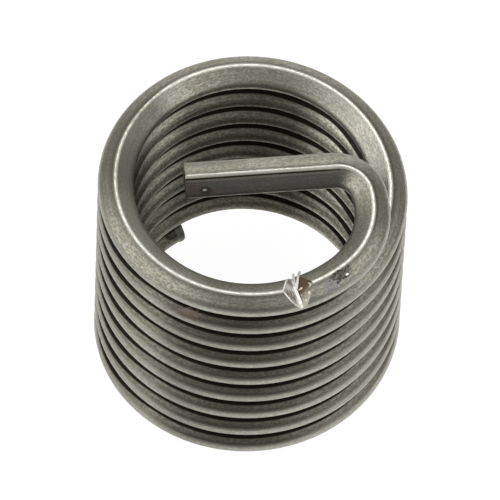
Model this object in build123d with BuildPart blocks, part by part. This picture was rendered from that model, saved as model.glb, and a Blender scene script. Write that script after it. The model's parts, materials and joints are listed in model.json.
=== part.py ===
from build123d import *
from math import asin, atan, atan2, cos, degrees, hypot, pi, radians, sin, tan
import os

# Wire thread insert with a tang, in its free state before it is wound into a tapped hole.
# One stainless wire of diamond section is wound into a right-hand coil. Its outer crests
# are the thread that grips the tapped hole, and its inner crests are the thread for the
# screw. The top end is bent inwards and crosses the bore as the driving tang. A V notch in
# the coil just before the bend lets the tang be snapped off. The bottom end is sheared.
#
# Millimetres. The origin is on the coil's axis, level with the lowest point of the wire.
# +Z runs up the axis to the tang, and the tang points along -X.

os.makedirs("parts", exist_ok=True)

# ---- driving dimensions ---------------------------------------------------------------
outer_radius = 4.90            # over the outer crests, free state
outer_reach = 0.54             # outer crest outside the wire's top and bottom ridges
inner_reach = 0.60             # inner crest inside the ridges
flank_slope = 30.0             # each flank against the radial direction, degrees
pitch = 1.07                   # free pitch of the coil
turn_gap = 0.12                # free gap between the ridges of neighbouring turns
coil_turns = 8.525             # sheared end to the start of the bend
piece_count = 34               # equal pieces, each about a quarter turn, that make the coil
true_count = 32                # pieces, counted from the sheared end, with true round crests
crest_allowance = 0.04         # wire left on each crest until it is cut round
sweep_radius = 2.65            # first, easy part of the bend, at the ridge
sweep_turn = 66.0              # degrees
corner_radius = 1.12           # second, tight part of the bend, at the ridge
tang_roll = 20.0               # the bend rolls the wire's top towards its inside, degrees
tang_reach = 2.19              # tang tip past the coil's axis
tip_break = 0.05               # broken edge round the sheared tang tip
notch_lead = 23.0              # notch ahead of the bend, degrees of coil
notch_depth = 0.50             # below the top ridge
notch_angle = 90.0             # included angle of the V
notch_overrun = 0.16           # the cutter runs this far past each crest

# ---- dependent sizes ------------------------------------------------------------------
flank_rise = tan(radians(flank_slope))
ridge_radius = outer_radius - outer_reach
inner_radius = ridge_radius - inner_reach
ridge_half_height = (pitch - turn_gap) / 2

climb = atan(pitch / (2 * pi * ridge_radius))
coil_rise = coil_turns * pitch
piece_rise = coil_rise / piece_count
piece_angle = coil_turns * 360 / piece_count

# Both parts of the bend turn about upright axes. The first axis is on the radial line
# through the end of the coil, the second on the line where the two arcs meet, and the bend
# starts at the angle that makes the tang run through the coil's axis.
sweep_axis = ridge_radius - sweep_radius
axis_step = sweep_radius - corner_radius
along = sweep_axis + axis_step * cos(radians(sweep_turn))
across = axis_step * sin(radians(sweep_turn))
bend_start = -degrees(asin(corner_radius / hypot(along, across)) + atan2(across, along))
corner_start = bend_start + sweep_turn
corner_turn = 90 - corner_start
sweep_x = sweep_axis * cos(radians(bend_start))
sweep_y = sweep_axis * sin(radians(bend_start))
corner_x = sweep_x + axis_step * cos(radians(corner_start))
corner_y = sweep_y + axis_step * sin(radians(corner_start))
sweep_pitch = pitch * sweep_radius / ridge_radius
corner_pitch = pitch * corner_radius / ridge_radius
sweep_rise = sweep_pitch * sweep_turn / 360
corner_rise = corner_pitch * corner_turn / 360

coil_start = bend_start - coil_turns * 360
coil_top = ridge_half_height + coil_rise
corner_root = coil_top + sweep_rise
tang_root = corner_root + corner_rise
tang_length = (corner_x + tang_reach) / cos(climb)

notch_place = bend_start - notch_lead
notch_floor = coil_top - pitch * notch_lead / 360 + ridge_half_height - notch_depth
notch_height = 2 * ridge_half_height
notch_half_width = notch_height * tan(radians(notch_angle / 2))


# ---- wire section ---------------------------------------------------------------------
# The section of a wire wound about +Z: its plane at a radius, an angle and a height. Local
# X is radial, local Y is up, and roll turns the top of the wire towards the axis.
def section_plane(radius, angle=0.0, height=0.0, roll=0.0):
    out = Vector(cos(radians(angle)), sin(radians(angle)), 0)
    upright = Plane(
        origin=out * radius + Vector(0, 0, height),
        x_dir=out,
        z_dir=out.cross(Vector(0, 0, 1)),
    )
    return Plane(upright.location * Location((0, 0, 0), (0, 0, roll)))


# A diamond with cut-off crests. allowance lengthens both crests.
def wire_section(plane, allowance=0.0):
    inner = inner_reach + allowance
    outer = outer_reach + allowance
    with BuildSketch(plane) as section:
        with BuildLine():
            Polyline(
                (-inner, inner * flank_rise - ridge_half_height),
                (0, -ridge_half_height),
                (outer, outer * flank_rise - ridge_half_height),
                (outer, ridge_half_height - outer * flank_rise),
                (0, ridge_half_height),
                (-inner, ridge_half_height - inner * flank_rise),
                close=True,
            )
        make_face()
    return section.sketch


# ---- one piece of the coil, as wound --------------------------------------------------
with BuildPart() as wound_piece:
    with BuildLine() as wound_path:
        Helix(pitch=pitch, height=piece_rise, radius=ridge_radius)
    sweep(wire_section(section_plane(ridge_radius)), path=wound_path.line, is_frenet=True)

# ---- one piece of the coil with its crests cut to true cylinders ----------------------
with BuildPart() as true_piece:
    with BuildLine() as true_path:
        Helix(pitch=pitch, height=piece_rise, radius=ridge_radius)
    raw_section = wire_section(section_plane(ridge_radius), crest_allowance)
    sweep(raw_section, path=true_path.line, is_frenet=True)
    Cylinder(outer_radius, 4 * pitch, mode=Mode.INTERSECT)
    Cylinder(inner_radius, 4 * pitch, mode=Mode.SUBTRACT)

# ---- first part of the bend: a smaller helix with the coil's own climb ----------------
with BuildPart() as bend_sweep:
    with BuildLine() as sweep_path:
        Helix(pitch=sweep_pitch, height=sweep_rise, radius=sweep_radius)
    sweep(wire_section(section_plane(sweep_radius)), path=sweep_path.line, is_frenet=True)

# ---- second part of the bend: tighter, and rolling the wire ---------------------------
with BuildPart() as bend_corner:
    with BuildLine() as corner_path:
        Helix(pitch=corner_pitch, height=corner_rise, radius=corner_radius)
    corner_sections = Sketch() + [
        wire_section(section_plane(corner_radius)),
        wire_section(section_plane(corner_radius, corner_turn, corner_rise, tang_roll)),
    ]
    sweep(corner_sections, path=corner_path.line, multisection=True, is_frenet=True)

# ---- tang: the rolled section carried straight on across the bore ---------------------
with BuildPart() as tang:
    tang_section = wire_section(section_plane(0, 90, 0, tang_roll))
    extrude(tang_section, amount=tang_length, dir=(-cos(climb), 0, sin(climb)))
    chamfer(tang.faces().sort_by(Axis.X)[0].edges(), tip_break)

# ---- the insert, one wire -------------------------------------------------------------
with BuildPart() as insert:
    # Each piece of the coil starts where the one below it ends.
    coil_places = [
        Location((0, 0, ridge_half_height + i * piece_rise), (0, 0, coil_start + i * piece_angle))
        for i in range(piece_count)
    ]
    with Locations(coil_places[:true_count]):
        add(true_piece.part, clean=False)
    with Locations(coil_places[true_count:]):
        add(wound_piece.part, clean=False)
    with Locations(Location((sweep_x, sweep_y, coil_top), (0, 0, bend_start))):
        add(bend_sweep.part, clean=False)
    with Locations(Location((corner_x, corner_y, corner_root), (0, 0, corner_start))):
        add(bend_corner.part, clean=False)
    with Locations((corner_x, 0, tang_root)):
        add(tang.part, clean=False)

    # Break-off notch: a V cut from above, its floor level and radial.
    out = Vector(cos(radians(notch_place)), sin(radians(notch_place)), 0)
    notch_plane = Plane(
        origin=out * (inner_radius - notch_overrun) + Vector(0, 0, notch_floor),
        x_dir=out.cross(Vector(0, 0, -1)),
        z_dir=out,
    )
    with BuildSketch(notch_plane) as notch_profile:
        with BuildLine():
            Polyline(
                (0, 0),
                (notch_half_width, notch_height),
                (-notch_half_width, notch_height),
                close=True,
            )
        make_face()
    extrude(
        notch_profile.sketch,
        amount=outer_radius - inner_radius + 2 * notch_overrun,
        mode=Mode.SUBTRACT,
        clean=False,
    )

insert.part.label = "wire_thread_insert"
export_step(insert.part, "parts/wire_thread_insert.step")
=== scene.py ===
import json
from math import asin, atan, atan2, cos, hypot, pi, radians, sin, sqrt, tan

import bmesh
import bpy
import numpy as np
from mathutils import Matrix, Vector


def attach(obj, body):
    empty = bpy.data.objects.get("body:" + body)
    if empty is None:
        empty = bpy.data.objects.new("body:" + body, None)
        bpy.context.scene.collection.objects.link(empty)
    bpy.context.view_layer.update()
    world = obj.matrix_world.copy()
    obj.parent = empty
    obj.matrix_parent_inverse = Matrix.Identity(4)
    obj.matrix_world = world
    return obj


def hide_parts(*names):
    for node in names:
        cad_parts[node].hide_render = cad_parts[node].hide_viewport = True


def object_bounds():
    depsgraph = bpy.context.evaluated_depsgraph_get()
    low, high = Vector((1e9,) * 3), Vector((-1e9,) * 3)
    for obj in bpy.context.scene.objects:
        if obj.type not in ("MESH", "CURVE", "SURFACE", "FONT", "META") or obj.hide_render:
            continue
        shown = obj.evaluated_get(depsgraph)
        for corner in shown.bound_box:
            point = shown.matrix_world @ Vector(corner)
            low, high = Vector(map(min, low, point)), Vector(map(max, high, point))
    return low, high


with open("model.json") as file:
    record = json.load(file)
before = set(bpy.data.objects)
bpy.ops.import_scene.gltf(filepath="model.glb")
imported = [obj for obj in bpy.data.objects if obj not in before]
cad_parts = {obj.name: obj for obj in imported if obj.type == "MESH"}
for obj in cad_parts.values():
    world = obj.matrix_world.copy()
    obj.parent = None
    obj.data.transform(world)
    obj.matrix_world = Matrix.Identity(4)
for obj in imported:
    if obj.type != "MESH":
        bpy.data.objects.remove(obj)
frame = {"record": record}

bl_info = {
    "name": "Wire Thread Insert",
    "version": (1, 0, 0),
    "blender": (4, 5, 0),
    "location": "3D View > Sidebar > Insert",
    "description": "Winds a tanged wire thread insert from diamond-section wire and sets it on a pale stage",
    "category": "Add Mesh",
}

CAD_BOX = [list(corner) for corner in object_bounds()]
NODE = "wire_thread_insert"
BODY = "root"
MM = 0.001
MOUNTS = {mount["name"]: mount for mount in frame["record"]["mounts"]}
OUTER_RADIUS = MOUNTS["outer_thread"]["dims"]["r_mm"] * MM
INNER_RADIUS = MOUNTS["inner_thread"]["dims"]["r_mm"] * MM


# Slivers at the notch: places in millimetres along the wire, outwards and upwards from the
# middle of the notch's floor, then the bar's width and height and its taper at each place.
FLOOR_BURR = (
    (0, 0.50, -0.03),
    (0, 0.20, 0.0),
    (0, -0.25, 0.02),
    (0.03, -0.42, 0.16),
    (0.04, -0.56, 0.36),
)
FORKED_BURR = ((0.02, -0.16, 0.03), (0.12, -0.36, 0.13), (0.19, -0.50, 0.24), (0.25, -0.56, 0.38))
OUTER_LIP = ((-0.47, 0.02, 0.46), (-0.34, 0.28, 0.33), (-0.20, 0.46, 0.20), (-0.05, 0.53, 0.04))
INNER_LIP = ((-0.46, -0.04, 0.45), (-0.32, -0.30, 0.31), (-0.18, -0.52, 0.18))
BURRS = (
    (FLOOR_BURR, 0.10, 0.12, 0.95),
    (FORKED_BURR, 0.09, 0.11, 0.96),
    (OUTER_LIP, 0.05, 0.05, 0.97),
    (INNER_LIP, 0.05, 0.05, 0.95),
)

# Steps that crown an end of the wire: each one's share of the crown's reach, then how much
# wider and higher it leaves the section.
TIP_STEPS = ((0.7, 0.98, 0.98), (0.3, 0.95, 0.95))
END_STEPS = (
    (0.3, 1.04, 1.06),
    (0.3, 1.0, 1.0),
    (0.22, 0.97, 0.97),
    (0.13, 0.9, 0.9),
    (0.05, 0.8, 0.8),
)


# ---- properties -----------------------------------------------------------------------
def length(name, description, default):
    """A length property, shown in the scene's unit."""
    return bpy.props.FloatProperty(
        name=name, description=description, default=default, precision=6, unit="LENGTH"
    )


def angle(name, description, degrees):
    """An angle property, given in degrees and kept in radians."""
    return bpy.props.FloatProperty(
        name=name, description=description, default=radians(degrees), subtype="ANGLE"
    )


def number(name, description, default):
    """A plain number property."""
    return bpy.props.FloatProperty(name=name, description=description, default=default)


def count(name, description, default):
    """A whole number property."""
    return bpy.props.IntProperty(name=name, description=description, default=default, min=1)


def colour(name, description, default):
    """A linear colour property."""
    return bpy.props.FloatVectorProperty(
        name=name, description=description, default=default, subtype="COLOR", size=3, min=0, max=1
    )


class WireSizes(bpy.types.PropertyGroup):
    """Section of the wire and the path that it is wound on"""

    outer_radius: length("Outer radius", "Over the outer crests", OUTER_RADIUS)
    inner_radius: length("Inner radius", "Over the inner crests", INNER_RADIUS)
    outer_reach: length("Outer reach", "Outer crest outside the ridges", 0.54 * MM)
    flank_slope: angle("Flank slope", "Each flank against the radial direction", 30.0)
    ridge_rounding: length("Ridge rounding", "How far rounding lowers each ridge", 0.024 * MM)
    pitch: length("Pitch", "Free pitch of the coil", 1.07 * MM)
    turn_gap: length("Turn gap", "Free gap between sharp ridges of neighbouring turns", 0.12 * MM)
    coil_turns: number("Coil turns", "Sheared end to the start of the bend", 8.525)
    sweep_radius: length("Sweep radius", "First, easy part of the bend, at the ridge", 2.65 * MM)
    sweep_turn: angle("Sweep turn", "How far the easy part turns", 66.0)
    corner_radius: length("Corner radius", "Second, tight part of the bend, at the ridge", 1.12 * MM)
    tang_roll: angle("Tang roll", "The bend rolls the wire's top towards its inside", 20.0)
    tang_reach: length("Tang reach", "Tang tip past the coil's axis", 2.19 * MM)
    tip_break: length("Tip break", "Broken edge round the tang's tip", 0.05 * MM)
    end_round: length("End round", "How far shearing crowned the coil's end", 0.22 * MM)
    end_burst: length("End burst", "How far shearing pushed the coil's end inwards", 0.03 * MM)
    end_tilt: angle("End tilt", "How far the sheared end's top leans out", 14.0)
    notch_lead: angle("Notch lead", "Break-off notch ahead of the bend", 23.0)
    notch_depth: length("Notch depth", "Below the sharp top ridge", 0.50 * MM)
    notch_angle: angle("Notch angle", "Included angle of the V", 90.0)
    steps_per_turn: count("Steps per turn", "Rings of the mesh in one turn of coil", 110)


class FinishColours(bpy.types.PropertyGroup):
    """Colours of the wire and of its cut faces"""

    drawn_light: colour("Drawn light", "Clean drawn wire", (0.42, 0.41, 0.345))
    # Also laid as painted shade on the outer side at the left of the coil.
    drawn_dark: colour("Drawn dark", "Drawn wire with drawing residue", (0.19, 0.18, 0.142))
    # Painted shade: this near-black darkens the valleys between turns, shaded sides of the coil and the
    # tang, and a shadow at the sheared end; it also colours a scrape and a pressed mark.
    valley_shade_and_marks: colour("Valley", "Residue in the valleys between turns", (0.014, 0.0125, 0.0095))
    # Worn bright ridges and painted highlights: laid along ridges and outer crests, and as painted light on
    # the top turn's inner flank at the sides.
    burnish_and_highlight: colour("Burnished", "Ridges rubbed bright", (0.78, 0.77, 0.70))
    fresh: colour("Fresh", "Slivers of bare metal", (0.92, 0.91, 0.87))
    # Also laid as painted light on the inner flanks at the right of the coil.
    cut_light: colour("Cut light", "Fresh cut metal", (0.72, 0.695, 0.59))
    # Also laid as painted shade on the notch's far wall.
    cut_dark: colour("Cut dark", "Torn and stained cut metal", (0.10, 0.07, 0.04))
    stain: colour("Stain", "Brown smudge on the drawn wire", (0.22, 0.165, 0.135))
    scuff: colour("Scuff", "Bluish scuffs by the notch", (0.20, 0.21, 0.24))
    floor: colour("Floor", "Pale floor", (0.80, 0.80, 0.80))


class StageSizes(bpy.types.PropertyGroup):
    """Camera and lamps"""

    view_turn: angle("View turn", "Camera's place round the axis, from the front to the left", 9.03)
    view_height: angle("View height", "Camera's elevation", 59.6)
    view_roll: angle("View roll", "The object leans to the right by this", 2.7)
    view_width: length("View width", "Width of the view at the object", 15.9 * MM)
    lens: number("Lens", "Focal length in millimetres", 900.0)
    floor_size: length("Floor size", "Side of the square floor", 1.6)
    lamp_distance: length("Lamp distance", "From the object's middle to each softbox", 0.12)


# ---- the wire's path ------------------------------------------------------------------
class WirePath:
    """Dependent sizes of the wire, from its sheared end to the tip of its tang.

    The coil ends where the easy part of the bend starts. Both parts of the bend turn about
    upright axes, and the bend starts at the angle that lets the tang run through the axis.
    """

    def __init__(self, sizes):
        self.ridge_radius = sizes.outer_radius - sizes.outer_reach
        self.half_height = (sizes.pitch - sizes.turn_gap) / 2
        self.apex_reach = self.half_height / tan(sizes.flank_slope)
        self.inner_reach = self.ridge_radius - sizes.inner_radius
        self.climb = atan(sizes.pitch / (2 * pi * self.ridge_radius))
        coil_rise = sizes.coil_turns * sizes.pitch

        centre_gap = self.ridge_radius - sizes.sweep_radius
        axis_step = sizes.sweep_radius - sizes.corner_radius
        along = centre_gap + axis_step * cos(sizes.sweep_turn)
        across = axis_step * sin(sizes.sweep_turn)
        lead = asin(sizes.corner_radius / hypot(along, across)) + atan2(across, along)
        self.bend_start = -lead
        self.corner_start = self.bend_start + sizes.sweep_turn
        self.corner_turn = pi / 2 - self.corner_start
        self.sweep_axis = Vector((cos(self.bend_start), sin(self.bend_start), 0)) * centre_gap
        step = Vector((cos(self.corner_start), sin(self.corner_start), 0)) * axis_step
        self.corner_axis = self.sweep_axis + step

        rise = sizes.pitch / (2 * pi * self.ridge_radius)
        self.sweep_rise = rise * sizes.sweep_radius * sizes.sweep_turn
        self.corner_rise = rise * sizes.corner_radius * self.corner_turn
        self.coil_top = self.half_height + coil_rise
        self.corner_root = self.coil_top + self.sweep_rise
        self.tang_root = self.corner_root + self.corner_rise
        self.tang_way = Vector((-cos(self.climb), 0, sin(self.climb)))
        self.tang_length = (self.corner_axis.x + sizes.tang_reach) / cos(self.climb)
        self.sweep_length = sizes.sweep_turn * sizes.sweep_radius
        self.bend_length = self.sweep_length + self.corner_turn * sizes.corner_radius
        self.end_along = -2 * pi * sizes.coil_turns * self.ridge_radius
        self.tip_along = self.bend_length + self.corner_axis.x + sizes.tang_reach

        self.notch_place = self.bend_start - sizes.notch_lead
        ridge = self.coil_top + self.half_height
        self.notch_floor = ridge - sizes.pitch * sizes.notch_lead / (2 * pi) - sizes.notch_depth


# ---- modelling by hand, in code -------------------------------------------------------
def deselect_all():
    """Leaves nothing selected, the loaded nodes included."""
    if bpy.context.mode != "OBJECT":
        bpy.ops.object.mode_set(mode="OBJECT")
    bpy.ops.object.select_all(action="DESELECT")


def make_active(piece):
    """Selects this piece alone."""
    deselect_all()
    piece.select_set(True)
    bpy.context.view_layer.objects.active = piece


def settle(piece, name):
    """Names the piece and moves its place into its mesh."""
    make_active(piece)
    bpy.ops.object.transform_apply(location=True, rotation=True, scale=True)
    piece.name = name
    piece.data.name = name
    return piece


def select_vertices(piece, test):
    """Selects, in edit mode, the vertices whose place passes the test."""
    bpy.ops.mesh.select_mode(type="VERT")
    bpy.ops.mesh.select_all(action="DESELECT")
    mesh = bmesh.from_edit_mesh(piece.data)
    for vertex in mesh.verts:
        vertex.select_set(bool(test(vertex.co)))
    mesh.select_flush(True)
    bmesh.update_edit_mesh(piece.data)


def select_open_edges(piece, test):
    """Selects, in edit mode, the open edges whose ends both pass the test."""
    bpy.ops.mesh.select_mode(type="EDGE")
    bpy.ops.mesh.select_all(action="DESELECT")
    mesh = bmesh.from_edit_mesh(piece.data)
    for edge in mesh.edges:
        edge.select_set(edge.is_boundary and all(test(vertex.co) for vertex in edge.verts))
    bmesh.update_edit_mesh(piece.data)


def round_corner(piece, test, drop, half_angle, segments):
    """Rounds the section's corners that pass the test, each mid-arc drop inside its corner."""
    select_vertices(piece, test)
    slide = drop / ((1 - sqrt(0.5)) * 2 * cos(half_angle))
    bpy.ops.mesh.bevel(
        affect="VERTICES", offset_type="OFFSET", offset=slide, segments=segments, profile=0.5
    )


def turn_about_z(turn, centre):
    """Turns what is selected anticlockwise about an upright line."""
    bpy.ops.transform.rotate(
        value=-turn, orient_axis="Z", orient_type="GLOBAL", center_override=centre
    )


def roll_inwards(roll, turned, centre):
    """Rolls the selected end of the wire about its run, its top towards the inside of the bend."""
    turn_about_z(-turned, centre)
    bpy.ops.transform.rotate(
        value=roll, orient_axis="Y", orient_type="GLOBAL", center_override=centre
    )
    turn_about_z(turned, centre)


def extrude(way):
    """Extrudes what is selected."""
    bpy.ops.mesh.extrude_region_move(TRANSFORM_OT_translate={"value": tuple(way)})


def selected_middle(piece):
    """The middle of the selected vertices."""
    form = bmesh.from_edit_mesh(piece.data)
    places = [vertex.co for vertex in form.verts if vertex.select]
    return sum(places, Vector()) / len(places)


def close_end(piece, way, reach, steps):
    """Crowns the selected end loop and fills it: each step moves it on and resizes it."""
    for push, width, height in steps:
        extrude(way * push * reach)
        middle = tuple(selected_middle(piece))
        bpy.ops.transform.resize(value=(width, width, height), center_override=middle)
    bpy.ops.mesh.edge_face_add()


def wire_section(sizes, path):
    """The wire's section at the start of the bend: a diamond with four rounded corners."""
    bpy.ops.mesh.primitive_circle_add(vertices=4, radius=1, fill_type="NGON", enter_editmode=True)
    section = bpy.context.object
    bpy.ops.mesh.select_all(action="SELECT")
    bpy.ops.transform.resize(
        value=(path.apex_reach, path.half_height, 1), center_override=(0, 0, 0)
    )
    side = path.apex_reach / 2
    crest = sizes.flank_slope
    ridge = pi / 2 - sizes.flank_slope
    round_corner(section, lambda p: p.x > side, path.apex_reach - sizes.outer_reach, crest, 12)
    round_corner(section, lambda p: p.x < -side, path.apex_reach - path.inner_reach, crest, 10)
    tip = path.half_height * 0.99
    round_corner(section, lambda p: abs(p.y) > tip, sizes.ridge_rounding, ridge, 6)
    bpy.ops.mesh.select_all(action="SELECT")
    bpy.ops.mesh.delete(type="ONLY_FACE")
    bpy.ops.object.mode_set(mode="OBJECT")
    out = Vector((cos(path.bend_start), sin(path.bend_start), 0))
    section.rotation_euler = (pi / 2, 0, path.bend_start)
    section.location = out * path.ridge_radius + Vector((0, 0, path.coil_top))
    return settle(section, "insert_wire")


def wind_coil(wire, sizes):
    """Winds the section down from the bend to the sheared end."""
    make_active(wire)
    turns = sizes.coil_turns - sizes.end_round / (2 * pi * sizes.outer_radius)
    screw = wire.modifiers.new("coil", "SCREW")
    screw.axis = "Z"
    screw.angle = -2 * pi * turns
    screw.screw_offset = -sizes.pitch * turns
    screw.steps = round(sizes.steps_per_turn * turns)
    screw.render_steps = screw.steps
    screw.use_merge_vertices = False
    bpy.ops.object.modifier_apply(modifier=screw.name)


def bend_tang(wire, sizes, path):
    """Carries the top end on through both parts of the bend and straight across the bore."""
    make_active(wire)
    bpy.ops.object.mode_set(mode="EDIT")
    middle = path.coil_top / 2
    select_open_edges(wire, lambda p: p.z > middle)

    sweep_steps = round(sizes.steps_per_turn * sizes.sweep_turn / (2 * pi))
    for _ in range(sweep_steps):
        extrude(Vector((0, 0, path.sweep_rise / sweep_steps)))
        turn_about_z(sizes.sweep_turn / sweep_steps, path.sweep_axis)

    corner_steps = round(sizes.steps_per_turn * path.corner_turn / (2 * pi))
    for step in range(1, corner_steps + 1):
        extrude(Vector((0, 0, path.corner_rise / corner_steps)))
        turn_about_z(path.corner_turn / corner_steps, path.corner_axis)
        turned = path.corner_start + path.corner_turn * step / corner_steps
        out = Vector((cos(turned), sin(turned), 0))
        height = Vector((0, 0, path.corner_root + path.corner_rise * step / corner_steps))
        centre = path.corner_axis + out * sizes.corner_radius + height
        roll_inwards(sizes.tang_roll / corner_steps, turned, centre)

    extrude(path.tang_way * (path.tang_length - sizes.tip_break))
    close_end(wire, path.tang_way, sizes.tip_break, TIP_STEPS)

    select_open_edges(wire, lambda p: p.z < middle)
    end = path.bend_start - 2 * pi * sizes.coil_turns
    down = Vector((sin(end) * cos(path.climb), -cos(end) * cos(path.climb), -sin(path.climb)))
    burst = Vector((-cos(end), -sin(end), 1.5)) * sizes.end_burst / sizes.end_round
    roll_inwards(-sizes.end_tilt, end - pi / 2, selected_middle(wire))
    close_end(wire, down + burst, sizes.end_round, END_STEPS)
    bpy.ops.mesh.select_all(action="SELECT")
    bpy.ops.mesh.normals_make_consistent(inside=False)
    bpy.ops.object.mode_set(mode="OBJECT")


def cut_notch(wire, sizes, path, cut_finish):
    """Cuts the V across the wire's top with a four-sided prism that stands on one edge."""
    out = Vector((cos(path.notch_place), sin(path.notch_place), 0))
    rise = 2 * path.half_height
    span = sizes.outer_radius - sizes.inner_radius
    deselect_all()
    bpy.ops.mesh.primitive_cylinder_add(vertices=4, radius=1, depth=1.6 * span)
    cutter = bpy.context.object
    bpy.ops.object.mode_set(mode="EDIT")
    bpy.ops.mesh.select_all(action="SELECT")
    width = rise * tan(sizes.notch_angle / 2)
    bpy.ops.transform.resize(value=(rise, width, 1), center_override=(0, 0, 0))
    bpy.ops.object.mode_set(mode="OBJECT")
    middle = out * (sizes.inner_radius + span / 2)
    upright = Matrix((Vector((0, 0, 1)), out.cross(Vector((0, 0, 1))), out)).transposed()
    cutter.matrix_world = Matrix.Translation(
        middle + Vector((0, 0, path.notch_floor + rise))
    ) @ upright.to_4x4()
    settle(cutter, "notch_cutter")
    cutter.data.materials.append(cut_finish)

    make_active(wire)
    notch = wire.modifiers.new("notch", "BOOLEAN")
    notch.operation = "DIFFERENCE"
    notch.solver = "EXACT"
    notch.material_mode = "TRANSFER"
    notch.object = cutter
    bpy.ops.object.modifier_apply(modifier=notch.name)
    bpy.data.objects.remove(cutter, do_unlink=True)


def notch_point(path, along, outwards, upwards):
    """A place from the middle of the notch's floor, given in millimetres."""
    out = Vector((cos(path.notch_place), sin(path.notch_place), 0))
    onwards = Vector((0, 0, 1)).cross(out)
    floor = out * path.ridge_radius + Vector((0, 0, path.notch_floor))
    return floor + (onwards * along + out * outwards + Vector((0, 0, upwards))) * MM


def raise_burr(path, places, width, height, taper, finish):
    """A sliver that the notching tool threw up: a small bar drawn from place to place."""
    points = [notch_point(path, *place) for place in places]
    deselect_all()
    bpy.ops.mesh.primitive_plane_add(size=1)
    burr = bpy.context.object
    out = Vector((cos(path.notch_place), sin(path.notch_place), 0))
    onwards = Vector((0, 0, 1)).cross(out)
    burr.matrix_world = (
        Matrix.Translation(points[0])
        @ Matrix((onwards, Vector((0, 0, 1)), out * -1)).transposed().to_4x4()
        @ Matrix.Diagonal((width, height, 1, 1))
    )
    settle(burr, "burr")
    bpy.ops.object.mode_set(mode="EDIT")
    bpy.ops.mesh.select_all(action="SELECT")
    for before, after in zip(points, points[1:]):
        extrude(after - before)
        bpy.ops.transform.resize(value=(taper, taper, taper), center_override=after)
    bpy.ops.mesh.select_all(action="SELECT")
    bpy.ops.mesh.normals_make_consistent(inside=False)
    bpy.ops.object.mode_set(mode="OBJECT")
    burr.data.materials.append(finish)
    return burr


def join_to(wire, pieces):
    """Joins loose slivers to the wire."""
    make_active(wire)
    for piece in pieces:
        piece.select_set(True)
    bpy.ops.object.join()


def rolled(outwards, upwards, roll):
    """A place in the section, seen along axes that have rolled with the wire."""
    return (
        outwards * np.cos(roll) + upwards * np.sin(roll),
        upwards * np.cos(roll) - outwards * np.sin(roll),
    )


def lay_out_wire(wire, sizes, path):
    """Writes each point's place in the wire laid out straight: along it, outwards and upwards."""
    mesh = wire.data
    places = np.empty(len(mesh.vertices) * 3)
    mesh.vertices.foreach_get("co", places)
    x, y, z = places.reshape(-1, 3).T
    turned = np.arctan2(y, x)
    lower = path.coil_top - (path.bend_start - turned) / (2 * pi) * sizes.pitch
    turn = np.round((z - lower) / sizes.pitch)
    wound = turned + 2 * pi * turn - path.bend_start
    along = wound * path.ridge_radius
    outwards = np.hypot(x, y) - path.ridge_radius
    upwards = z - path.coil_top - wound / (2 * pi) * sizes.pitch

    over_coil = (z > path.coil_top - path.half_height) & (wound > 0)
    over_bore = (z > path.corner_root - path.half_height) & (
        np.hypot(x, y) < path.ridge_radius * 0.8
    )
    on_bend = over_coil | over_bore
    sweep = (path.sweep_axis, path.bend_start, sizes.sweep_turn, sizes.sweep_radius, 0.0)
    corner = (
        path.corner_axis,
        path.corner_start,
        path.corner_turn,
        sizes.corner_radius,
        sizes.tang_roll,
    )
    rise = sizes.pitch / (2 * pi * path.ridge_radius)
    for (axis, start, turn_size, radius, roll), root, past in (
        (sweep, path.coil_top, 0.0),
        (corner, path.corner_root, path.sweep_length),
    ):
        done = np.arctan2(y - axis.y, x - axis.x) - start
        inside = on_bend & (done >= -1e-4) & (done <= turn_size + 1e-4)
        run = done[inside] * radius
        away = np.hypot(x - axis.x, y - axis.y)[inside] - radius
        lift = z[inside] - root - run * rise
        along[inside] = past + run
        outwards[inside], upwards[inside] = rolled(away, lift, roll * done[inside] / turn_size)

    on_tang = on_bend & (x < path.corner_axis.x) & (np.abs(y) < path.half_height * 2)
    run = path.corner_axis.x - x[on_tang]
    lift = z[on_tang] - path.tang_root - run * tan(path.climb)
    along[on_tang] = path.bend_length + run
    outwards[on_tang], upwards[on_tang] = rolled(y[on_tang], lift, sizes.tang_roll)
    attribute = mesh.attributes.new("wire", "FLOAT_VECTOR", "POINT")
    laid = np.stack([along, outwards, upwards], axis=1)
    attribute.data.foreach_set("vector", laid.astype(np.float32).ravel())


# ---- shader maths ---------------------------------------------------------------------
class Value:
    """A number socket. Expressions on it add Math nodes."""

    def __init__(self, shader, socket):
        self.shader = shader
        self.socket = socket

    def math(self, operation, first, second=None, clamp=False):
        inputs = {0: first} if second is None else {0: first, 1: second}
        settings = {"operation": operation, "use_clamp": clamp}
        return self.shader.add("ShaderNodeMath", settings, inputs).value("Value")

    def __add__(self, other):
        return self.math("ADD", self, other)

    def __radd__(self, other):
        return self.math("ADD", other, self)

    def __sub__(self, other):
        return self.math("SUBTRACT", self, other)

    def __rsub__(self, other):
        return self.math("SUBTRACT", other, self)

    def __mul__(self, other):
        return self.math("MULTIPLY", self, other)

    def __rmul__(self, other):
        return self.math("MULTIPLY", other, self)

    def __truediv__(self, other):
        return self.math("DIVIDE", self, other)

    def __rtruediv__(self, other):
        return self.math("DIVIDE", other, self)

    def __abs__(self):
        return self.math("ABSOLUTE", self)

    def between(self, low, high):
        """0 at low and 1 at high, with soft ends."""
        settings = {"interpolation_type": "SMOOTHSTEP", "clamp": True}
        inputs = {"Value": self, "From Min": low, "From Max": high}
        return self.shader.add("ShaderNodeMapRange", settings, inputs).value("Result")


class Node:
    """A node, whose outputs are taken by name."""

    def __init__(self, shader, node):
        self.shader = shader
        self.node = node

    def value(self, name):
        return Value(self.shader, self.node.outputs[name])

    def out(self, name):
        return self.node.outputs[name]


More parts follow.
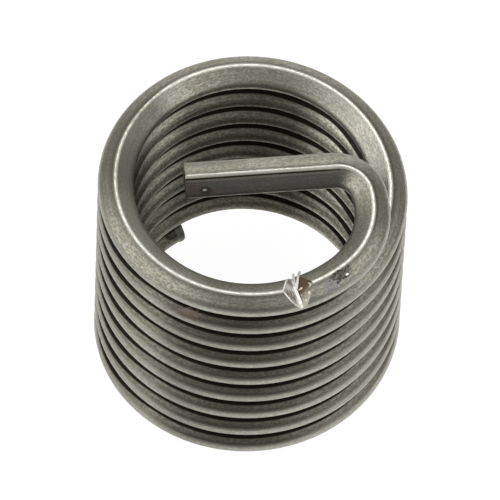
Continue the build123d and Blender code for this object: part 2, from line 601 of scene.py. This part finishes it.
class Shader:
    """A node tree that nodes are added to by type, settings and inputs."""

    def __init__(self, tree):
        self.tree = tree
        tree.nodes.clear()

    def add(self, kind, settings=None, inputs=None):
        node = self.tree.nodes.new(kind)
        for name, setting in (settings or {}).items():
            setattr(node, name, setting)
        for name, given in (inputs or {}).items():
            given = given.socket if isinstance(given, Value) else given
            if isinstance(given, bpy.types.NodeSocket):
                self.tree.links.new(given, node.inputs[name])
            else:
                node.inputs[name].default_value = given
        return Node(self, node)

    def noise(self, vector, scale, detail=2.0, roughness=0.5):
        """A noise pattern's number."""
        inputs = {"Vector": vector, "Scale": scale, "Detail": detail, "Roughness": roughness}
        return self.add("ShaderNodeTexNoise", {"noise_dimensions": "3D"}, inputs).value("Fac")

    def spot(self, vector, place, radii, ragged):
        """1 inside a ragged oval round a place, 0 outside it."""
        apart = self.add("ShaderNodeVectorMath", {"operation": "SUBTRACT"}, {0: vector, 1: place})
        apart = self.stretch(apart.out("Vector"), tuple(1 / radius for radius in radii))
        away = self.add("ShaderNodeVectorMath", {"operation": "LENGTH"}, {0: apart}).value("Value")
        return 1 - (away + ragged).between(0.7, 1.1)

    def stretch(self, vector, scale):
        """A vector scaled along its own axes."""
        settings = {"operation": "MULTIPLY"}
        return self.add("ShaderNodeVectorMath", settings, {0: vector, 1: scale}).out("Vector")

    def mix(self, factor, first, second):
        """A colour between two colours."""
        settings = {"data_type": "RGBA", "blend_type": "MIX", "clamp_factor": True}
        inputs = {0: factor, 6: first, 7: second}
        node = self.add("ShaderNodeMix", settings, inputs)
        return node.node.outputs[2]

    def coat(self, tone, coats):
        """A colour with others laid over it in turn, each by its own factor."""
        for factor, colour in coats:
            tone = self.mix(factor, tone, rgba(colour))
        return tone

    def bump(self, height, distance, normal=None):
        """A normal raised by a height of this many metres."""
        inputs = {"Strength": 1.0, "Distance": distance, "Height": height}
        if normal is not None:
            inputs["Normal"] = normal
        return self.add("ShaderNodeBump", None, inputs).out("Normal")


def rgba(value):
    """A colour property as a socket's four numbers."""
    return (*value, 1.0)


def new_finish(name):
    """An empty material and its shader."""
    material = bpy.data.materials.new(name)
    material.use_nodes = True
    return material, Shader(material.node_tree)


def put_out(shader, inputs):
    """Ends a surface with one Principled shader."""
    surface = shader.add("ShaderNodeBsdfPrincipled", None, inputs)
    shader.add("ShaderNodeOutputMaterial", None, {"Surface": surface.out("BSDF")})


def wire_place(shader):
    """A point's place in the wire laid out straight, in millimetres, and its three parts."""
    laid = shader.add("ShaderNodeAttribute", {"attribute_name": "wire"}).out("Vector")
    laid = shader.stretch(laid, (1 / MM, 1 / MM, 1 / MM))
    parts = shader.add("ShaderNodeSeparateXYZ", None, {"Vector": laid})
    return laid, parts.value("X"), parts.value("Y"), parts.value("Z")


class DrawnFace:
    """Places on the drawn wire, the patterns of its surface and the parts of its face.

    Places are millimetres along the wire from the bend's start, outwards and upwards.
    """

    def __init__(self, shader, sizes, path):
        self.shader = shader
        self.laid, self.along, self.outwards, self.upwards = wire_place(shader)
        self.inwards = 0 - self.outwards
        self.end = path.end_along / MM
        self.tip = path.tip_along / MM
        self.bend_end = path.bend_length / MM
        self.add_patterns()
        self.add_sides()
        self.add_parts(sizes, path)

    def add_patterns(self):
        """Die lines along the wire, fine speckle, broad mottle and loose blotches."""
        noise = self.shader.noise
        stretch = self.shader.stretch
        self.die_lines = noise(stretch(self.laid, (0.25, 9.0, 9.0)), 1.6, 4.0, 0.6)
        self.speckle = noise(stretch(self.laid, (0.5, 1.0, 1.0)), 19.0, 3.0, 0.75)
        self.mottle = noise(stretch(self.laid, (0.45, 1.0, 1.0)), 1.3, 3.0, 0.55)
        self.blotches = noise(self.laid, 5.0, 2.0, 0.6) - 0.5
        self.grit = self.speckle.between(0.42, 0.60)
        self.ragged = 2.2 * (self.speckle - 0.5)

    def add_sides(self):
        """Masks by the way round the coil, in the object's own axes.

        They shade the wire unevenly round the coil, as uneven light on it would. They are
        fitted to a view from the front and above, and stay where they are in any other.
        """
        place = self.shader.add("ShaderNodeTexCoord").out("Object")
        level = self.shader.stretch(place, (1.0, 1.0, 0.0))
        level = self.shader.add("ShaderNodeVectorMath", {"operation": "NORMALIZE"}, {0: level})
        level = self.shader.add("ShaderNodeSeparateXYZ", None, {"Vector": level.out("Vector")})
        right = level.value("X")
        back = level.value("Y")
        self.sideways = right * right
        # Painted light at the sides of the coil, soonest at the left: less painted shade and a painted
        # highlight there.
        self.lighted = (self.sideways * (1.3 - 0.5 * right)).between(0.15, 0.65)
        self.left_side = (0 - right).between(0.65, 0.95)
        self.right_side = right.between(0.42, 0.75)
        self.right_band = right.between(0.15, 0.5) * (1 - right.between(0.85, 0.97))
        # Where painted shade falls: at the back left and at the front left.
        back_left = (0 - right).between(0.42, 0.72) * back.between(-0.2, 0.2)
        self.back_left = back_left * (1 - 0.5 * self.left_side)
        self.front_left = (0 - back).between(0.65, 0.85) * (1 - right.between(-0.75, 0.35))

    def add_parts(self, sizes, path):
        """Ridges, crests, flanks and the valleys between turns, with rough edges."""
        ridge_line = (path.half_height - sizes.ridge_rounding) / MM
        on_ridge = abs(self.upwards).between(ridge_line - 0.03, ridge_line - 0.005)
        self.on_ridge = on_ridge * (1 - abs(self.outwards).between(0.05, 0.10))

        one_turn = 2 * pi * path.ridge_radius / MM
        below_turn = 1 - (self.along + one_turn + 0.6 * self.mottle).between(-0.6, 0.9)
        self.below_turn = below_turn
        self.top_turn = 1 - below_turn
        self.upper_flank = self.upwards.between(-0.1, 0.0)
        rough_edge = 0.10 * (self.speckle - 0.5)
        inside = self.inwards.between(0.0, 0.05)
        reach = abs(self.outwards + 0.02) + 0.5 * rough_edge
        reach = reach - (0.17 + 0.03 * inside) * self.sideways.between(0.45, 1.05)
        reach = reach - 0.04 * inside * self.right_band
        # Lines of painted shade in the valleys between turns, wider at the sides of the coil.
        self.deep = (1 - reach.between(0.29, 0.325)) * below_turn * self.upper_flank
        self.outer_flank = (1 - (self.outwards + rough_edge).between(0.42, 0.50)) * below_turn
        self.inner_side = (self.inwards + rough_edge).between(0.0, 0.10) * below_turn
        self.inner_crest = self.inwards.between(0.44, 0.52) * below_turn
        foot = 1 - (self.outwards + rough_edge).between(0.05, 0.24)
        self.foot = foot * self.outwards.between(0.0, 0.05)
        self.crest = self.outwards.between(0.44, 0.50)
        top_inside = self.inwards.between(0.0, 0.10) * self.top_turn
        self.top_inside = top_inside * (1 - self.along.between(-3.0, 2.0))

    def spot(self, place, radii, ragged):
        """1 inside a ragged oval round a place on the wire."""
        return self.shader.spot(self.laid, place, radii, ragged)


def drawn_tone(face, colours):
    """The wire as drawn and wound: residue, ridges worn bright with painted highlights, and painted light
    and shade round the coil and in the valleys between turns.
    """
    residue = 0.20 * face.mottle + 0.50 * face.speckle + 0.30 * face.die_lines
    tone = face.shader.mix(
        residue.between(0.34, 0.66), rgba(colours.drawn_light), rgba(colours.drawn_dark)
    )
    outer_side = 1 - face.inner_side
    # Painted light on the inner flanks at the right of the coil.
    right_inner_light = (0.9 - 0.55 * face.grit) * face.right_side * face.inner_side
    shade = (0.55 - 0.5 * face.lighted + 0.52 * face.left_side) * face.upper_flank
    shade = shade * (0.3 + 0.7 * face.along.between(face.end + 24.0, face.end + 34.0))
    # Painted highlight along the top turn's ridges, less at the back left; the ridges are also worn bright.
    ridge_shine = face.on_ridge * (0.40 - 0.4 * face.back_left) * face.top_turn
    return face.shader.coat(
        tone,
        (
            (0.45 * face.grit, colours.drawn_dark),
            # Painted highlight, with some wear, along the outer crests.
            (0.25 * face.crest, colours.burnish_and_highlight),
            # Painted light on the top turn's inner flank at the sides of the coil.
            (0.18 * face.top_inside * face.lighted, colours.burnish_and_highlight),
            # Painted shade on the top turn's inner flank at the back left.
            (0.55 * face.top_inside * face.back_left, colours.valley_shade_and_marks),
            # Painted shade on the lower turns at the front left.
            (0.32 * face.front_left * face.below_turn, colours.valley_shade_and_marks),
            # Painted shade beside the ridges on the outer side, in the valleys between turns.
            (0.55 * face.foot, colours.valley_shade_and_marks),
            # Painted shade on the outer flanks of the lower turns.
            (0.50 * face.outer_flank * outer_side, colours.valley_shade_and_marks),
            # Painted shade on the outer side at the left of the coil.
            (0.25 * face.left_side * outer_side, colours.drawn_dark),
            # Painted light on the inner flanks at the right of the coil.
            (right_inner_light, colours.cut_light),
            (shade * face.inner_side, colours.valley_shade_and_marks),
            # Painted shade on the inner crests at the left of the coil.
            (0.45 * face.inner_crest * face.left_side, colours.valley_shade_and_marks),
            # Painted shade: near-black lines in the valleys between turns.
            (0.96 * face.deep, colours.valley_shade_and_marks),
            # Painted highlight along the ridges, with some wear.
            (ridge_shine, colours.burnish_and_highlight),
        ),
    )


def notch_marks(face, tone, colours):
    """A bluish scuff, a scrape and a nick on the coil just before the notch."""
    blotches = 2.0 * face.blotches
    bluish = face.spot((-0.80, 0.29, 0.31), (0.26, 0.18, 1.0), blotches)
    scraped = face.spot((-0.34, 0.20, 0.37), (0.36, 0.15, 1.0), face.ragged + blotches)
    nick = face.spot((-0.17, 0.28, 0.32), (0.045, 0.03, 1.0), face.ragged)
    return face.shader.coat(
        tone,
        (
            (0.5 * bluish, colours.scuff),
            (0.9 * scraped * (1 - 0.7 * face.grit), colours.valley_shade_and_marks),
            (nick, colours.fresh),
        ),
    )


def end_marks(face, tone, colours):
    """A brown smudge on an outer turn, and the bluish sheared end with a painted shadow at its corner."""
    end = face.end
    smudge = face.spot((-32.4, 0.38, 0.25), (0.46, 0.16, 1.0), 2.0 * face.blotches)
    # Painted shadow at the sheared end's corner.
    corner = face.spot((end + 0.42, -0.36, 0.2), (0.26, 0.20, 1.0), 1.2 * face.blotches)
    sheared = 1 - face.along.between(end + 0.05, end + 0.30)
    return face.shader.coat(
        tone,
        (
            (0.5 * smudge, colours.stain),
            (0.6 * sheared, colours.scuff),
            # Painted shadow at the sheared end's corner.
            (0.7 * corner, colours.valley_shade_and_marks),
        ),
    )


def tang_marks(face, tone, colours):
    """The tang's inner flank: painted shade on it, a painted shade line and a painted highlight line under
    its ridge, a stain, a pressed mark and a nick.
    """
    inwards = face.inwards
    tip = face.tip
    tang = face.along.between(face.bend_end - 0.9, face.bend_end + 0.4)
    # Painted shade over the tang's inner flank, and a painted shade line and a painted highlight line under
    # its ridge.
    flank = tang * inwards.between(0.13, 0.17)
    shade_line = tang * inwards.between(0.05, 0.07) * (1 - inwards.between(0.10, 0.12))
    highlight_line = tang * inwards.between(0.12, 0.14) * (1 - inwards.between(0.16, 0.19))
    stained = face.spot((tip - 0.1, -0.50, 0.20), (0.8, 0.34, 1.0), 1.6 * face.blotches)
    pressed = face.spot((tip - 0.62, -0.42, 0.23), (0.22, 0.12, 1.0), 0.6 * face.ragged)
    nick = face.spot((tip - 0.58, -0.42, 0.23), (0.08, 0.04, 1.0), face.ragged)
    return face.shader.coat(
        tone,
        (
            # Painted shade on the tang's inner flank, bluish and mottled.
            (0.3 * flank, colours.scuff),
            (0.12 * face.mottle * flank, colours.valley_shade_and_marks),
            # A painted shade line and a painted highlight line under the tang's ridge.
            (0.9 * shade_line, colours.valley_shade_and_marks),
            (0.6 * highlight_line, colours.drawn_light),
            (0.55 * stained, colours.stain),
            (0.45 * pressed, colours.valley_shade_and_marks),
            (nick, colours.fresh),
        ),
    )


def drawn_wire_finish(colours, sizes, path):
    """Satin drawn stainless wire: grain along it, speckle, painted shade in the valleys, painted light and
    shade round the coil, and ridges worn bright with painted highlights.
    """
    material, shader = new_finish("drawn_wire")
    face = DrawnFace(shader, sizes, path)
    tone = drawn_tone(face, colours)
    tone = notch_marks(face, tone, colours)
    tone = end_marks(face, tone, colours)
    tone = tang_marks(face, tone, colours)
    rough = 0.32 + 0.12 * face.grit + 0.06 * face.mottle + 0.2 * face.inner_crest
    rough = rough + 0.2 * face.deep - 0.03 * face.on_ridge
    grain = shader.bump(face.die_lines * (1 - 0.8 * face.on_ridge), 0.004 * MM)
    pits = shader.bump(face.speckle * (1 - face.on_ridge), 0.008 * MM, grain)
    put_out(shader, {"Base Color": tone, "Metallic": 1.0, "Roughness": rough, "Normal": pits})
    return material


def cut_metal_finish(colours, sizes, path):
    """The notch's walls: smeared metal on the coil's side, painted bright as lit; torn and stained metal on
    the other, painted dark as shaded.
    """
    material, shader = new_finish("cut_metal")
    laid, along, outwards, _ = wire_place(shader)
    floor_line = -sizes.notch_lead * path.ridge_radius / MM
    streaks = shader.noise(shader.stretch(laid, (1.0, 0.18, 1.0)), 14.0, 3.0, 0.6)
    tears = shader.noise(laid, 7.0, 4.0, 0.65)
    # Which wall: the coil's side is painted as lit, the other side as shaded, and it is torn.
    torn_and_shaded_side = (along - floor_line + 0.08 * (tears - 0.5)).between(-0.02, 0.06)
    specks = shader.noise(laid, 6.5, 2.0, 0.5).between(0.60, 0.68)

    streaked = 0.7 * streaks.between(0.46, 0.66)
    # Painted light: the coil-side wall's bright metal, with dark streaks.
    smeared = shader.mix(streaked, rgba(colours.fresh), rgba(colours.drawn_dark))
    outer_part = outwards.between(-0.1, 0.4)
    # Painted shade: the other wall's dark brown, over its stain.
    stain = shader.mix(outer_part, rgba(colours.cut_dark), rgba(colours.drawn_light))
    torn = shader.mix(specks, stain, rgba(colours.cut_light))
    tone = shader.mix(torn_and_shaded_side, smeared, torn)
    rough = 0.24 + 0.2 * tears + 0.1 * torn_and_shaded_side
    rugged = shader.bump(tears * torn_and_shaded_side, 0.05 * MM)
    smooth = shader.bump(streaks, 0.012 * MM, rugged)
    put_out(shader, {"Base Color": tone, "Metallic": 1.0, "Roughness": rough, "Normal": smooth})
    return material


def burr_finish(colours):
    """Bright raised slivers of fresh metal."""
    material, shader = new_finish("burr")
    place = shader.add("ShaderNodeTexCoord").out("Object")
    place = shader.stretch(place, (1 / MM, 1 / MM, 1 / MM))
    wisps = shader.noise(place, 8.0, 2.0, 0.6)
    tone = shader.mix(wisps.between(0.5, 0.68), rgba(colours.fresh), rgba(colours.cut_light))
    rough = 0.45 + 0.2 * wisps
    put_out(shader, {"Base Color": tone, "Metallic": 0.5, "Roughness": rough})
    return material


def floor_finish(colours):
    """A plain pale floor that the camera sees nearly white, with the object's shadow.

    Mirror and glass rays see the same white near the object, and the lit floor beyond it.
    """
    material, shader = new_finish("pale_floor")
    ray = shader.add("ShaderNodeLightPath")
    place = shader.add("ShaderNodeTexCoord").out("Object")
    away = shader.add("ShaderNodeVectorMath", {"operation": "LENGTH"}, {0: place}).value("Value")
    near = 1 - away.between(0.02, 0.07)
    mirrored = ray.value("Is Glossy Ray") + ray.value("Is Transmission Ray")
    seen = ray.value("Is Camera Ray") + mirrored * near
    matt = shader.add(
        "ShaderNodeBsdfDiffuse", None, {"Color": rgba(colours.floor), "Roughness": 0.0}
    )
    white = shader.add("ShaderNodeEmission", None, {"Color": (1, 1, 1, 1), "Strength": 1.15})
    lifted = shader.add(
        "ShaderNodeMixShader",
        None,
        {0: 0.83 * seen, 1: matt.out("BSDF"), 2: white.out("Emission")},
    )
    shader.add("ShaderNodeOutputMaterial", None, {"Surface": lifted.out("Shader")})
    return material


def surrounding_light():
    """The studio round the stage: dim walls, paler at the back, and a pale ceiling."""
    world = bpy.data.worlds.new("studio")
    bpy.context.scene.world = world
    world.use_nodes = True
    shader = Shader(world.node_tree)
    way = shader.add("ShaderNodeTexCoord").out("Generated")
    parts = shader.add("ShaderNodeSeparateXYZ", None, {"Vector": way})
    back = parts.value("Y").between(-0.1, 0.7)
    ceiling = parts.value("Z").between(sin(radians(38)), sin(radians(58)))
    room = 0.13 + 0.25 * back + 0.45 * ceiling
    sky = shader.add("ShaderNodeBackground", None, {"Color": (1, 1, 1, 1), "Strength": room})
    shader.add("ShaderNodeOutputWorld", None, {"Surface": sky.out("Background")})


# ---- stage ----------------------------------------------------------------------------
class View:
    """The camera's axes, and places round the object seen from it."""

    def __init__(self, stage):
        turn = stage.view_turn
        self.stage = stage
        self.front = Vector((-sin(turn), -cos(turn), 0))
        self.side = Vector((cos(turn), -sin(turn), 0))
        corners = [Vector(corner) for corner in CAD_BOX]
        self.middle = (corners[0] + corners[1]) / 2

    def way(self, azimuth, elevation):
        """From the object: azimuth runs from the camera to its right, in degrees."""
        level = self.front * cos(radians(azimuth)) + self.side * sin(radians(azimuth))
        return level * cos(radians(elevation)) + Vector((0, 0, sin(radians(elevation))))

    def axes(self):
        """The camera's right, up and backward axes, rolled."""
        back = self.front * cos(self.stage.view_height)
        back = back + Vector((0, 0, sin(self.stage.view_height)))
        up = back.cross(self.side)
        roll = self.stage.view_roll
        right = self.side * cos(roll) + up * sin(roll)
        return right, back.cross(right), back


def look_from(thing, place, target):
    """Puts a lamp at a place, turned to its target."""
    thing.location = place
    thing.rotation_euler = (target - place).to_track_quat("-Z", "Y").to_euler()


def softbox(view, name, azimuth, elevation, width, height, brightness):
    """A softbox whose face has this brightness, where 1 is white."""
    distance = view.stage.lamp_distance
    lamp = bpy.data.lights.new(name, "AREA")
    lamp.shape = "RECTANGLE"
    lamp.size = width
    lamp.size_y = height
    lamp.energy = brightness * pi * width * height
    thing = bpy.data.objects.new(name, lamp)
    bpy.context.collection.objects.link(thing)
    look_from(thing, view.middle + view.way(azimuth, elevation) * distance, view.middle)
    thing.visible_camera = False
    return thing


# ---- operators ------------------------------------------------------------------------
class INSERT_OT_wind_wire(bpy.types.Operator):
    """Wind the insert from one length of wire, with its tang and its break-off notch"""

    bl_idname = "insert.wind_wire"
    bl_label = "Wind Wire"
    bl_options = {"REGISTER", "UNDO"}

    def execute(self, context):
        sizes = context.scene.insert_wire
        colours = context.scene.insert_finish
        path = WirePath(sizes)
        deselect_all()
        wire = wire_section(sizes, path)
        wind_coil(wire, sizes)
        bend_tang(wire, sizes, path)
        wire.data.materials.append(drawn_wire_finish(colours, sizes, path))
        cut_notch(wire, sizes, path, cut_metal_finish(colours, sizes, path))
        lay_out_wire(wire, sizes, path)
        fresh = burr_finish(colours)
        burrs = [
            raise_burr(path, places, width * MM, height * MM, taper, fresh)
            for places, width, height, taper in BURRS
        ]
        join_to(wire, burrs)
        make_active(wire)
        bpy.ops.object.shade_smooth_by_angle(angle=radians(34))
        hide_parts(NODE)
        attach(wire, BODY)
        return {"FINISHED"}


class INSERT_OT_set_stage(bpy.types.Operator):
    """Set up the floor, the lamps, the surroundings and the camera"""

    bl_idname = "insert.set_stage"
    bl_label = "Set Stage"
    bl_options = {"REGISTER", "UNDO"}

    def execute(self, context):
        stage = context.scene.insert_stage
        view = View(stage)
        deselect_all()
        bpy.ops.mesh.primitive_plane_add(size=stage.floor_size)
        floor = settle(context.object, "floor")
        floor.data.materials.append(floor_finish(context.scene.insert_finish))
        surrounding_light()
        softbox(view, "key_softbox", -78, 34, 0.12, 0.11, 1.75)
        softbox(view, "fill_softbox", 70, 38, 0.11, 0.12, 1.25)
        softbox(view, "back_softbox", 180, 64, 0.07, 0.05, 3.3)
        softbox(view, "back_panel", 180, 16, 0.10, 0.08, 0.75)

        lens = bpy.data.cameras.new("camera")
        lens.lens = stage.lens
        distance = stage.view_width * lens.lens / lens.sensor_width
        lens.clip_start = distance / 10
        lens.clip_end = distance * 10
        camera = bpy.data.objects.new("camera", lens)
        context.collection.objects.link(camera)
        axes = view.axes()
        turned = Matrix(axes).transposed().to_4x4()
        camera.matrix_world = Matrix.Translation(view.middle + axes[2] * distance) @ turned
        context.scene.camera = camera
        context.scene.view_settings.view_transform = "Standard"
        return {"FINISHED"}


class INSERT_PT_panel(bpy.types.Panel):
    """Lists the steps that build the insert and its stage"""

    bl_idname = "INSERT_PT_panel"
    bl_label = "Wire Thread Insert"
    bl_space_type = "VIEW_3D"
    bl_region_type = "UI"
    bl_category = "Insert"

    def draw(self, context):
        layout = self.layout
        layout.operator(INSERT_OT_wind_wire.bl_idname)
        layout.operator(INSERT_OT_set_stage.bl_idname)
        for group in (
            context.scene.insert_wire,
            context.scene.insert_finish,
            context.scene.insert_stage,
        ):
            box = layout.box()
            for name in group.__annotations__:
                box.prop(group, name)


CLASSES = (
    WireSizes,
    FinishColours,
    StageSizes,
    INSERT_OT_wind_wire,
    INSERT_OT_set_stage,
    INSERT_PT_panel,
)


def register():
    for each in CLASSES:
        bpy.utils.register_class(each)
    bpy.types.Scene.insert_wire = bpy.props.PointerProperty(type=WireSizes)
    bpy.types.Scene.insert_finish = bpy.props.PointerProperty(type=FinishColours)
    bpy.types.Scene.insert_stage = bpy.props.PointerProperty(type=StageSizes)


def unregister():
    del bpy.types.Scene.insert_stage
    del bpy.types.Scene.insert_finish
    del bpy.types.Scene.insert_wire
    for each in reversed(CLASSES):
        bpy.utils.unregister_class(each)


def main():
    register()
    bpy.ops.insert.wind_wire()
    bpy.ops.insert.set_stage()


if __name__ == "__main__":
    main()
